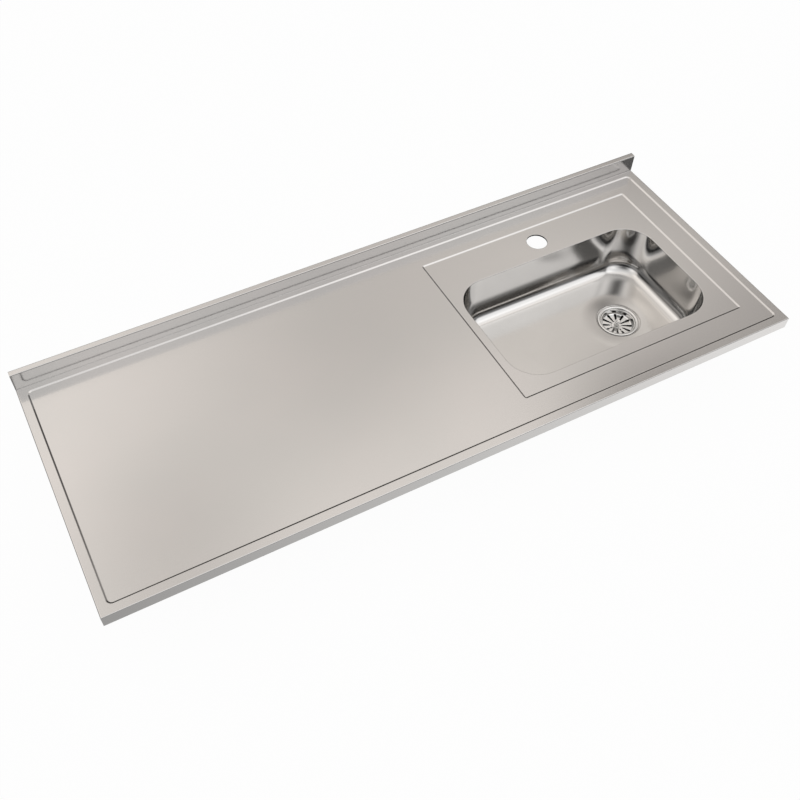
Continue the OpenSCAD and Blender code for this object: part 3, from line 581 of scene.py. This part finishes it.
def brushed_steel(name, colour, tint, rough):
    """Rolled steel: clouds of a second tint, a fine grain along X, and a slow wave in the sheet."""
    m, tree, shader = material(name, colour, rough, metallic=1.0)
    clouds = noise(tree, place(tree, (1, 1.4, 1.4)), scale=3.2, detail=3.0, rough=0.45, twist=0.3)
    colour_by(tree, shader, clouds, [(0.3, colour), (0.7, tint)])
    lines = noise(tree, place(tree, (6, 260, 260)), scale=9.0, detail=3.0, rough=0.6)
    rough_by(tree, shader, lines, 0.3, 0.7, rough - 0.03, rough + 0.03)
    slow = noise(tree, place(tree), scale=5.0, detail=1.0, rough=0.4)
    wave = bump(tree, shader, slow, strength=0.25, distance=0.0006)
    bump(tree, shader, lines, strength=0.2, distance=0.00002, under=wave)
    return m


def bowl_steel():
    """Polished walls over a satin floor: the roughness falls and the colour lightens with the height, with
    clouds in the colour and fine upright polishing marks."""
    m, tree, shader = material("pressed_bowl_steel", (0.7, 0.69, 0.67), 0.16, metallic=1.0)
    clouds = noise(tree, place(tree), scale=9.0, detail=3.0, rough=0.5, twist=0.4)
    height = axes(tree, place(tree))["Z"]
    floor = 0.001 * FLOOR_Z
    rough_by(tree, shader, height, floor + 0.0016, floor + 0.0336, 0.15, 0.09)
    level = spread(tree, height, floor + 0.0011, floor + 0.0076, 0, 0.6)
    tone = arithmetic(tree, "ADD", level, arithmetic(tree, "MULTIPLY", clouds, 0.4))
    colour_by(tree, shader, tone, [
        (0.12, (0.655, 0.64, 0.62)), (0.28, (0.685, 0.67, 0.65)),
        (0.72, (0.73, 0.72, 0.705)), (0.88, (0.76, 0.75, 0.735))])
    slow = noise(tree, place(tree, (1, 1, 0.6)), scale=14.0, detail=1.0, rough=0.4)
    wave = bump(tree, shader, slow, strength=0.2, distance=0.0005)
    marks = noise(tree, place(tree, (420, 420, 30)), scale=3.0, detail=2.0, rough=0.6)
    bump(tree, shader, marks, strength=0.12, distance=0.00002, under=wave)
    return m


def polished(name, colour, rough, painted_shade=None):
    """Polished or plated metal with faint wear in its gloss. Where a painted shade colour is given, the
    metal turns to it within 4 mm below the strainer's ledge: painted shade down the inside of the strainer's
    cup."""
    m, tree, shader = material(name, colour, rough, metallic=1.0)
    if painted_shade:
        # Painted shade: below the ledge the cup's inside turns to the dark colour.
        ledge = 0.001 * LEDGE_Z
        above = spread(tree, axes(tree, place(tree))["Z"], ledge - 0.004, ledge, 0, 1)
        colour_by(tree, shader, above, [(0.0, painted_shade), (1.0, colour)])
    wear = noise(tree, place(tree), scale=160.0, detail=4.0, rough=0.6)
    rough_by(tree, shader, wear, 0.35, 0.7, rough, rough + 0.08)
    bump(tree, shader, wear, strength=0.05, distance=0.0001)
    return m


def chipboard():
    """Pressed wood chips: cells of browns between three tones, with a rough, pitted face."""
    m, tree, shader = material("raw_chipboard", (0.45, 0.3, 0.16), 0.85)
    chips = cells(tree, place(tree, (0.6, 1, 1), 0.4), scale=260.0)
    colour_by(tree, shader, chips["Red"], [
        (0.0, (0.24, 0.14, 0.065)), (0.45, (0.46, 0.31, 0.17)), (1.0, (0.62, 0.46, 0.28))])
    bump(tree, shader, chips["Green"], strength=0.5, distance=0.0004)
    return m


def softwood(name, along_x):
    """Planed softwood: long growth lines with darker late wood, and fine fibres along the batten."""
    m, tree, shader = material(name, (0.6, 0.42, 0.22), 0.6)
    growth, fine = ((1.2, 34, 60), (20, 700, 700)) if along_x else ((34, 1.2, 60), (700, 20, 700))
    rings = noise(tree, place(tree, growth), scale=1.6, detail=3.0, rough=0.5, twist=1.2)
    colour_by(tree, shader, rings, [
        (0.30, (0.70, 0.50, 0.28)), (0.50, (0.62, 0.42, 0.21)),
        (0.58, (0.42, 0.25, 0.11)), (0.70, (0.66, 0.46, 0.25))])
    fibre = noise(tree, place(tree, fine), scale=2.0, detail=3.0, rough=0.6)
    bump(tree, shader, fibre, strength=0.3, distance=0.0003)
    return m


def grained(name, colour, second, rough, scale, strength, depth, metallic=0.0):
    """A plain stuff with a mottled colour and a fine surface: rubber, bitumen, fibre, plastic or zinc."""
    m, tree, shader = material(name, colour, rough, metallic)
    mottle = noise(tree, place(tree), scale, detail=4.0, rough=0.6)
    colour_by(tree, shader, mottle, [(0.3, colour), (0.7, second)])
    rough_by(tree, shader, mottle, 0.3, 0.7, rough - 0.06, rough + 0.06)
    bump(tree, shader, mottle, strength, depth)
    return m


def spangled_zinc():
    """Zinc plate: irregular cells, each with its own tone."""
    m, tree, shader = material("zinc_plate", (0.6, 0.61, 0.62), 0.35, metallic=1.0)
    spangles = cells(tree, place(tree), scale=220.0)
    colour_by(tree, shader, spangles["Red"], [(0.0, (0.50, 0.51, 0.53)), (1.0, (0.68, 0.69, 0.70))])
    rough_by(tree, shader, spangles["Green"], 0, 1, 0.28, 0.46)
    return m


def dress(obj, m):
    """Gives every slot of an object one material."""
    if not obj.data.materials:
        obj.data.materials.append(m)
    for slot in obj.material_slots:
        slot.material = m


sheet_steel = brushed_steel("satin_sheet_steel", (0.67, 0.66, 0.645), (0.70, 0.68, 0.665), 0.16)
strainer_steel = polished("polished_strainer_steel", (0.80, 0.795, 0.78), 0.10)
rubber = grained("black_rubber_seal", (0.012, 0.012, 0.012), (0.03, 0.03, 0.03),
                 rough=0.62, scale=300.0, strength=0.25, depth=0.0002)
zinc = spangled_zinc()
wood_x, wood_y = softwood("batten_wood_along_x", True), softwood("batten_wood_along_y", False)

# Pieces made here, each with its material and the slot it stands for.
pieces = {
    worktop_sheet(): (sheet_steel, "sheet_steel"),
    bowl_shell(): (bowl_steel(), "bowl_steel"),
    # The strainer's steel, with painted shade down the inside of its cup below the ledge.
    strainer_shell(): (
        polished("strainer_cup_with_painted_shade", (0.82, 0.815, 0.80), 0.10, painted_shade=(0.10, 0.10, 0.098)),
        "strainer_steel"),
    slotted_basket(): (strainer_steel, "strainer_steel"),
    turned_knob(): (strainer_steel, "strainer_steel"),
}
for piece, (stuff, slot_name) in pieces.items():
    dress(piece, stuff)

# Pieces that keep the part's own shape.
finishes = {
    "core_board": chipboard(),
    "front_batten": wood_x,
    "rear_batten": wood_x,
    "upstand_backing": wood_x,
    "left_batten": wood_y,
    "right_batten": wood_y,
    # The plate under the tap hole is near-black, so that the hole's bore shows as a dark crescent.
    "tap_support_plate": grained("near_black_tap_plate", (0.05, 0.052, 0.055), (0.09, 0.092, 0.095),
                                 rough=0.55, scale=260.0, strength=0.15, depth=0.0002, metallic=0.6),
    "sound_pads": grained("bitumen_pad", (0.02, 0.02, 0.022), (0.05, 0.05, 0.052),
                          rough=0.8, scale=220.0, strength=0.6, depth=0.0006),
    "fixing_brackets": zinc,
    "bracket_screws": zinc,
    "flange_seal": rubber,
    "under_gasket": rubber,
    "stopper_seal": rubber,
    "friction_washer": grained("pressed_fibre", (0.20, 0.17, 0.14), (0.32, 0.28, 0.24),
                               rough=0.85, scale=400.0, strength=0.4, depth=0.0002),
    "lock_nut": grained("white_nylon", (0.72, 0.72, 0.69), (0.78, 0.78, 0.76),
                        rough=0.42, scale=90.0, strength=0.08, depth=0.0002),
    "post_stem": strainer_steel,
    "stopper_washer": strainer_steel,
    "post_clip": polished("spring_steel", (0.58, 0.58, 0.59), 0.25),
}
for node_name, stuff in finishes.items():
    dress(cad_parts[node_name], stuff)


# The studio's light: a dome of even light from DOME_FROM degrees up, and a darker horizon below HORIZON_TO.
DOME, HORIZON, LEAST = 0.88, 0.28, 0.02
HORIZON_TO, DOME_FROM = 29, 37

# Soft round areas in that light, each as (azimuth from +Y towards +X, elevation, width, strength), with
# angles in degrees. The bright ones lie where the steel mirrors a light area in the photograph, and the dark
# ones, which take light away, where it mirrors a dark one.
BRIGHT_AREAS = [
    (-1, 50, 7, 0.20), (24, 60, 6, 0.18), (39, 54, 6, 0.24), (50, 44, 5, 0.22), (141, 40, 6, 0.22),
    (128, 54, 10, 0.40), (-16, 57, 6, 0.22), (0, 90, 12, 0.20), (80, 71, 6, 0.30), (83, 60.5, 4.5, 0.40),
    (-98, 43, 9, 0.40), (-46, 54, 8, 0.45), (178, 48, 10, 0.35), (132, 66, 9, 0.30), (108, 58, 7, 0.16),
    (48.5, 53, 3, 0.15),
]
DARK_AREAS = [
    (29, 50, 8, -0.24), (4, 58, 5, -0.26), (63, 43, 8, -0.44), (46, 34, 5, -0.22), (-54, 38, 8, -0.40),
    (-135, 43, 17, -0.75), (133, 32, 5, -0.25), (155, 8, 13, -0.28), (53.6, 50.4, 3.5, -0.70),
    (8, 3, 15, -0.27), (42, 15, 17, -0.26),
]


def soft_area(tree, way, azimuth, elevation, width, strength):
    """Light from one soft round area: its strength times e to the power of (the cosine of the angle from its
    middle, less one) times a sharpness, which leaves half the strength at its width."""
    a, e = math.radians(azimuth), math.radians(elevation)
    dot = tree.nodes.new("ShaderNodeVectorMath")
    dot.operation = "DOT_PRODUCT"
    dot.inputs[1].default_value = (math.sin(a) * math.cos(e), math.cos(a) * math.cos(e), math.sin(e))
    tree.links.new(way, dot.inputs[0])
    sharp = 0.69 / (1 - math.cos(math.radians(width)))
    less = arithmetic(tree, "SUBTRACT", dot.outputs["Value"], 1.0)
    glow = arithmetic(tree, "EXPONENT", arithmetic(tree, "MULTIPLY", less, sharp))
    return arithmetic(tree, "MULTIPLY", glow, strength)


def world_light():
    """Background: white to the camera, and to all else the dome over its darker horizon with the soft areas
    added, never below a least value, cooler in front and warmer behind."""
    world = bpy.data.worlds.new("studio")
    bpy.context.scene.world = world
    world.use_nodes = True
    tree = world.node_tree
    tree.nodes.clear()
    way = tree.nodes.new("ShaderNodeTexCoord").outputs["Generated"]
    split = axes(tree, way)

    # The dome's edge is a smooth step, 3 t squared less 2 t cubed.
    low, high = (math.sin(math.radians(v)) for v in (HORIZON_TO, DOME_FROM))
    rise = spread(tree, split["Z"], low, high, 0, 1)
    rest = arithmetic(tree, "SUBTRACT", 3.0, arithmetic(tree, "MULTIPLY", rise, 2.0))
    rise = arithmetic(tree, "MULTIPLY", arithmetic(tree, "MULTIPLY", rise, rise), rest)
    total = arithmetic(tree, "ADD", arithmetic(tree, "MULTIPLY", rise, DOME - HORIZON), HORIZON)
    for area in BRIGHT_AREAS + DARK_AREAS:
        total = arithmetic(tree, "ADD", total, soft_area(tree, way, *area))
    total = arithmetic(tree, "MAXIMUM", total, LEAST)

    tint = tree.nodes.new("ShaderNodeMix")
    tint.data_type = "RGBA"
    tint.inputs["Factor"].default_value = 1.0
    tint.blend_type = "MULTIPLY"
    warm = spread(tree, split["Y"], -0.3, 0.4, 0.0, 1.0)
    warm = blend_colours(tree, warm, [(0.0, (0.99, 0.99, 1.0)), (1.0, (1.0, 0.955, 0.915))])
    tree.links.new(warm, tint.inputs["A"])
    tree.links.new(total, tint.inputs["B"])
    lit = tree.nodes.new("ShaderNodeBackground")
    tree.links.new(tint.outputs["Result"], lit.inputs["Color"])
    white = tree.nodes.new("ShaderNodeBackground")
    white.inputs["Color"].default_value = (1, 1, 1, 1)
    path = tree.nodes.new("ShaderNodeLightPath")
    choose = tree.nodes.new("ShaderNodeMixShader")
    tree.links.new(path.outputs["Is Camera Ray"], choose.inputs["Fac"])
    tree.links.new(lit.outputs["Background"], choose.inputs[1])
    tree.links.new(white.outputs["Background"], choose.inputs[2])
    out = tree.nodes.new("ShaderNodeOutputWorld")
    tree.links.new(choose.outputs["Shader"], out.inputs["Surface"])


world_light()

# White paper, a little below the end of the pipe.
PAPER_HALF, PAPER_Z = 8000.0, PIPE_END_Z - 1.2


def paper_painted_shade(tree):
    """How light metal sees the paper at a place, with painted shade and a painted shadow: it darkens evenly
    to the left, and is nearly black under the part and beside the back half of its right end, with soft
    edges to both areas."""
    split = axes(tree, place(tree))
    half_l, half_d = 0.001 * HALF_L, 0.001 * HALF_D
    # Painted shade: the paper darkens evenly towards the left.
    along = spread(tree, split["X"], -half_l, half_l - 0.05, 0.45, 1.0)
    under_x = spread(tree, arithmetic(tree, "ABSOLUTE", split["X"]), half_l - 0.02, half_l + 0.04, 1, 0)
    under_y = spread(tree, arithmetic(tree, "ABSOLUTE", split["Y"]), half_d - 0.03, half_d + 0.03, 1, 0)
    under = arithmetic(tree, "MULTIPLY", under_x, under_y)
    from_x = spread(tree, split["X"], half_l - 0.10, half_l - 0.08, 0, 1)
    to_x = spread(tree, split["X"], half_l + 0.25, half_l + 0.35, 1, 0)
    from_y = spread(tree, split["Y"], -0.10, 0.0, 0, 1)
    beside = arithmetic(tree, "MULTIPLY", arithmetic(tree, "MULTIPLY", from_y, under_y), to_x)
    beside = arithmetic(tree, "MULTIPLY", beside, from_x)
    # Painted shadow: the paper nearly black under the part and beside its right end.
    dark = arithmetic(tree, "MULTIPLY", arithmetic(tree, "MAXIMUM", under, beside), 0.9)
    return arithmetic(tree, "MULTIPLY", along, arithmetic(tree, "SUBTRACT", 1.0, dark))


def studio_floor():
    """White paper under the part. It glows for the camera and in metal, with a trace of plain paper that
    keeps a faint shadow; in metal the glow carries a painted shadow under the part and painted shade to the
    left.
    To all else it is plain paper, and from below it is clear."""
    t = np.linspace(-PAPER_HALF, PAPER_HALF, 9)
    x, y = np.meshgrid(t, t)
    points, quads = grid(np.stack([x, y, PAPER_Z + 0 * x], -1), flip=True)
    mesh = bpy.data.meshes.new("studio_floor")
    mesh.from_pydata((points * 0.001).tolist(), [], quads.tolist())
    floor = bpy.data.objects.new("studio_floor", mesh)
    bpy.context.scene.collection.objects.link(floor)
    m, tree, shader = material("white_paper", (0.86, 0.86, 0.86), 0.9, specular=0.0)
    glow = tree.nodes.new("ShaderNodeEmission")
    glow.inputs["Color"].default_value = (1, 1, 1, 1)
    path = tree.nodes.new("ShaderNodeLightPath")
    seen = arithmetic(tree, "MAXIMUM", path.outputs["Is Camera Ray"], path.outputs["Is Glossy Ray"])
    # The glow's strength in metal carries the painted shade and the painted shadow.
    strength = arithmetic(tree, "MAXIMUM", paper_painted_shade(tree), path.outputs["Is Camera Ray"])
    tree.links.new(strength, glow.inputs["Strength"])
    mix = tree.nodes.new("ShaderNodeMixShader")
    tree.links.new(arithmetic(tree, "MULTIPLY", seen, 0.97), mix.inputs["Fac"])
    tree.links.new(shader.outputs["BSDF"], mix.inputs[1])
    tree.links.new(glow.outputs["Emission"], mix.inputs[2])
    back = tree.nodes.new("ShaderNodeNewGeometry")
    clear = tree.nodes.new("ShaderNodeBsdfTransparent")
    sides = tree.nodes.new("ShaderNodeMixShader")
    tree.links.new(back.outputs["Backfacing"], sides.inputs["Fac"])
    tree.links.new(mix.outputs["Shader"], sides.inputs[1])
    tree.links.new(clear.outputs["BSDF"], sides.inputs[2])
    tree.links.new(sides.outputs["Shader"], tree.nodes["Material Output"].inputs["Surface"])
    dress(floor, m)


studio_floor()

# The camera, solved from the photograph's straight edges: place in metres, angles in degrees, lens in mm.
CAMERA_AT = (-0.7181, -1.1641, 1.5869)
HEADING, DOWN, ROLL = 27.395, 52.502, 0.228
LENS, SHIFT_X, SHIFT_Y = 42.587, 0.0423, 0.0152
camera = bpy.data.objects.new("camera", bpy.data.cameras.new("camera"))
bpy.context.scene.collection.objects.link(camera)
camera.data.sensor_width = 36.0
camera.data.lens = LENS
camera.data.shift_x, camera.data.shift_y = SHIFT_X, SHIFT_Y
camera.data.clip_start, camera.data.clip_end = 0.05, 60.0
camera.matrix_world = (Matrix.Translation(CAMERA_AT)
                       @ Matrix.Rotation(math.radians(-HEADING), 4, "Z")
                       @ Matrix.Rotation(math.radians(90 - DOWN), 4, "X")
                       @ Matrix.Rotation(math.radians(ROLL), 4, "Z"))
bpy.context.scene.camera = camera
bpy.context.scene.view_settings.view_transform = "Standard"
